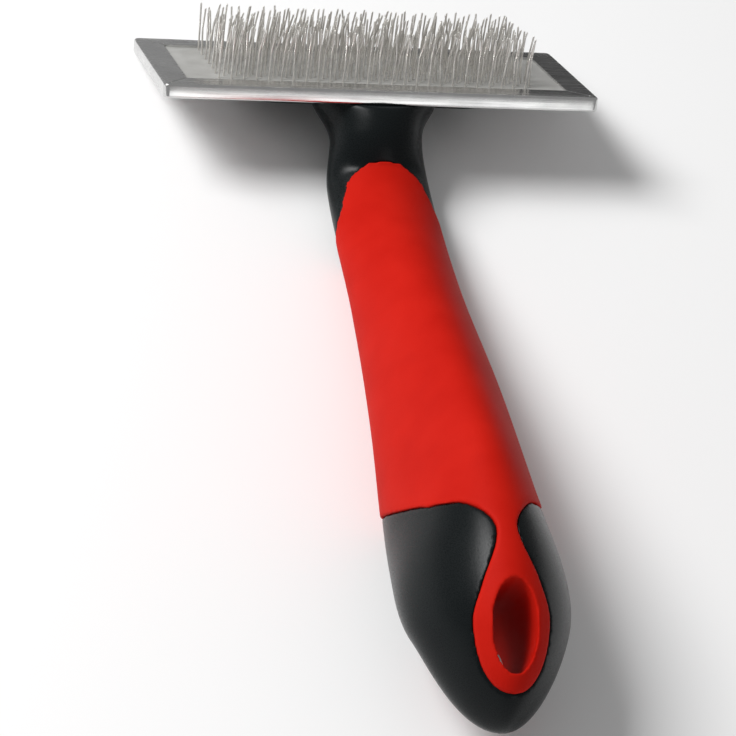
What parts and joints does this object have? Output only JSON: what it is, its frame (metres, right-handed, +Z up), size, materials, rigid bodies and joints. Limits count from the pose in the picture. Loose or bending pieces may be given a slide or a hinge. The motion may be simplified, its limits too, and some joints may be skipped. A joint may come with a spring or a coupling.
{
  "type": "slicker brush",
  "caption": "Pet slicker brush: oblong steel head of fine bent wire pins on an angled two-tone moulded handle with a hanging hole.",
  "frame": {"origin": "middle of the footprint, on the surface that the brush lies on, pins up", "axes": "+Y along the brush from the butt of the handle to the head, +X across the brush along the head, +Z up, the side that the pins are on"},
  "size_m": [0.095, 0.1926, 0.0409],
  "materials": {
    "plated_steel": "bright plated sheet, slightly brushed",
    "fibreboard": "plain pressed board, hidden",
    "woven_backing": "plain woven cotton ply",
    "pad_rubber": "matt grey-beige facing",
    "screw_steel": "zinc plated",
    "black_plastic": "satin, finely textured",
    "red_rubber": "satin soft-touch rubber",
    "pin_wire": "drawn steel wire"
  },
  "bodies": {
    "root": {"head_tray": "plated_steel", "backing_board": "fibreboard", "fabric_backing": "woven_backing", "rubber_facing": "pad_rubber", "tray_screws": "screw_steel", "handle_core": "black_plastic", "soft_grip": "red_rubber", "pin_row_01": "pin_wire", "pin_row_02": "pin_wire", "pin_row_03": "pin_wire", "pin_row_04": "pin_wire", "pin_row_05": "pin_wire", "pin_row_06": "pin_wire", "pin_row_07": "pin_wire", "pin_row_08": "pin_wire", "pin_row_09": "pin_wire", "pin_row_10": "pin_wire", "pin_row_11": "pin_wire", "pin_row_12": "pin_wire", "pin_row_13": "pin_wire"}
  },
  "joints": []
}
